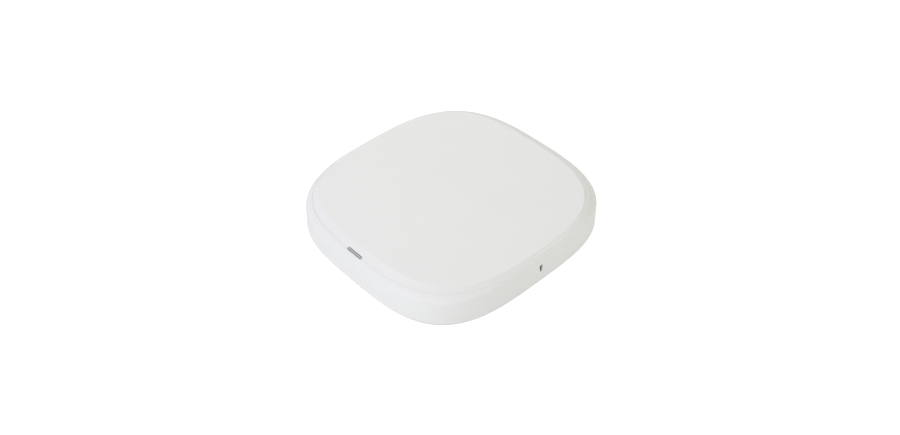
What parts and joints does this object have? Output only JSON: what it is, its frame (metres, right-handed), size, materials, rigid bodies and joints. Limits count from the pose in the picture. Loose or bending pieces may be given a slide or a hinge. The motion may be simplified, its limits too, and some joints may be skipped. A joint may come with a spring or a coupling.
{
  "type": "ceiling access point",
  "caption": "Rounded-square ceiling radio unit with a flat front panel, chamfered cap, status light, lock slot, port bay and twist-off mounting bracket.",
  "frame": {"origin": "middle of the unit at the ceiling face of its mounting bracket", "axes": "+Z from the ceiling face to the front panel, -Y towards the side with the status light, +X towards the side with the lock slot, +Y towards the cable exit"},
  "size_m": [0.1894, 0.1997, 0.0279],
  "materials": {
    "white_plastic": "fine matt moulded plastic",
    "cast_aluminium": "as-cast, light grey",
    "zinc_steel": "zinc-plated sheet and studs",
    "blackened_screw": "black-passivated screw",
    "light_window": "smoky translucent moulding",
    "lamp": "lamp lens",
    "board_laminate": "green solder mask",
    "black_moulding": "black moulded package",
    "thermal_pad": "soft filled silicone",
    "tinned_sheet": "tinned sheet metal",
    "capacitor_can": "drawn can",
    "winding_tape": "polyester tape",
    "contact_gold": "gold-plated spring contacts",
    "grey_plastic": "moulded button",
    "ceramic": "fired ceramic chip",
    "cable_sleeve": "extruded cable sleeve"
  },
  "bodies": {
    "housing": {"base_plate": "cast_aluminium", "base_screw_1": "blackened_screw", "base_screw_2": "blackened_screw", "base_screw_3": "blackened_screw", "base_screw_4": "blackened_screw", "bluetooth_antenna": "ceramic", "board_screw_1": "zinc_steel", "board_screw_2": "zinc_steel", "board_screw_3": "zinc_steel", "board_screw_4": "zinc_steel", "board_screw_5": "zinc_steel", "bracket_stud_1": "zinc_steel", "bracket_stud_2": "zinc_steel", "bracket_stud_3": "zinc_steel", "coax_cable_1": "cable_sleeve", "coax_cable_2": "cable_sleeve", "coax_cable_3": "cable_sleeve", "coax_cable_4": "cable_sleeve", "flash_chip": "black_moulding", "high_band_antenna_1": "tinned_sheet", "high_band_antenna_2": "tinned_sheet", "high_band_antenna_3": "tinned_sheet", "high_band_antenna_4": "tinned_sheet", "jack_contacts_1": "contact_gold", "jack_contacts_2": "contact_gold", "light_pipe": "light_window", "line_transformer_1": "black_moulding", "line_transformer_2": "black_moulding", "lock_plate_screw": "blackened_screw", "lock_slot_plate": "zinc_steel", "low_band_antenna_1": "tinned_sheet", "low_band_antenna_2": "tinned_sheet", "low_band_antenna_3": "tinned_sheet", "low_band_antenna_4": "tinned_sheet", "main_board": "board_laminate", "memory_chip_1": "black_moulding", "memory_chip_2": "black_moulding", "network_jack_1": "tinned_sheet", "network_jack_2": "tinned_sheet", "poe_transformer": "winding_tape", "power_capacitor_1": "capacitor_can", "power_capacitor_2": "capacitor_can", "power_choke": "black_moulding", "power_jack": "black_moulding", "processor": "black_moulding", "processor_thermal_pad": "thermal_pad", "radio_chip_1": "black_moulding", "radio_chip_2": "black_moulding", "radio_shield_1": "tinned_sheet", "radio_shield_2": "tinned_sheet", "radio_thermal_pad_1": "thermal_pad", "radio_thermal_pad_2": "thermal_pad", "reset_switch": "black_moulding", "side_housing": "white_plastic", "status_light": "lamp", "top_cap": "white_plastic", "usb_port": "tinned_sheet"},
    "bracket": {"mounting_bracket": "zinc_steel"},
    "reset": {"reset_button": "grey_plastic"}
  },
  "joints": [
    {"name": "bracket_twist", "type": "hinge", "parent": "housing", "child": "bracket", "pos_m": [0, -0.018, 0], "axis": [0, 0, 1], "range_deg": [0, 18]},
    {"name": "reset_press", "type": "slide", "parent": "housing", "child": "reset", "axis": [0, -1, 0], "range_m": [0, 0.0005]}
  ]
}
